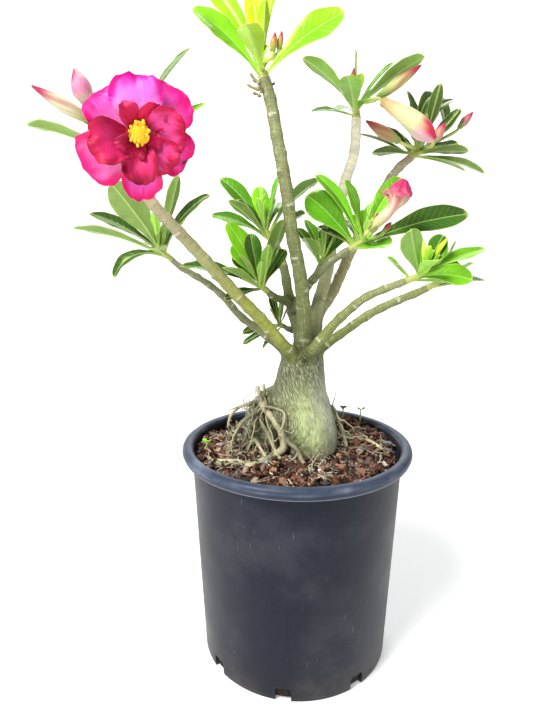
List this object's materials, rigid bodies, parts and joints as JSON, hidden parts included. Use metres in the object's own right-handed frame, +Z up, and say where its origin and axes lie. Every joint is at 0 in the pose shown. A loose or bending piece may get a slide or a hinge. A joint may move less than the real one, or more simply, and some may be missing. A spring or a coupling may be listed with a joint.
{
  "type": "potted desert rose adenium",
  "caption": "Desert rose in a round nursery pot: a swollen grey trunk with bare branching stems, tufts of green leaves at their ends, one open double pink flower and buds.",
  "frame": {"origin": "centre of the flat underside of the pot, on the surface that it stands on", "axes": "+Z up through the pot, -Y the front that shows the open flower, +X to the viewer's right"},
  "size_m": [0.3572, 0.2676, 0.5637],
  "materials": {
    "pot_plastic": "satin moulded plastic, faintly scuffed",
    "soil": "rough reddish bark chips, dry and matt",
    "grey_bark": "smooth olive-grey bark, half matt",
    "leaf": "glossy green leaf with a pale midrib",
    "petal": "velvety deep pink petal",
    "throat": "matt yellow stamens",
    "calyx": "smooth green, half matt",
    "bud_cream": "satin cream and pink bud",
    "bud_pink": "satin pink bud"
  },
  "bodies": {
    "root": {"pot": "pot_plastic", "soil": "soil", "caudex_and_stems": "grey_bark", "leaves_top": "leaf", "leaves_flower": "leaf", "leaves_left": "leaf", "leaves_centre_low": "leaf", "leaves_centre_high": "leaf", "leaves_centre_right": "leaf", "leaves_right_front": "leaf", "leaves_far_right": "leaf", "leaves_far_right_back": "leaf", "leaves_low": "leaf", "leaves_tall_right": "leaf", "leaves_back_right": "leaf", "seedling_round_leaf": "leaf", "seedling_sprout": "leaf", "seedling_green": "leaf", "flower_corolla": "petal", "flower_throat": "throat", "flower_calyx": "calyx", "bud_flower_long": "bud_cream", "bud_tall_right_upper": "bud_cream", "bud_tall_right_hanging": "bud_cream", "bud_top_left": "bud_pink", "bud_top_right": "bud_pink", "bud_flower_round": "bud_pink", "bud_flower_thin": "bud_pink", "bud_tall_right_red": "bud_pink", "bud_back_right_left": "bud_pink", "bud_back_right_middle": "bud_pink", "bud_back_right_far": "bud_pink", "bud_right_front_left": "bud_pink", "bud_right_front_right": "bud_pink", "faded_flower": "bud_pink"}
  },
  "joints": []
}
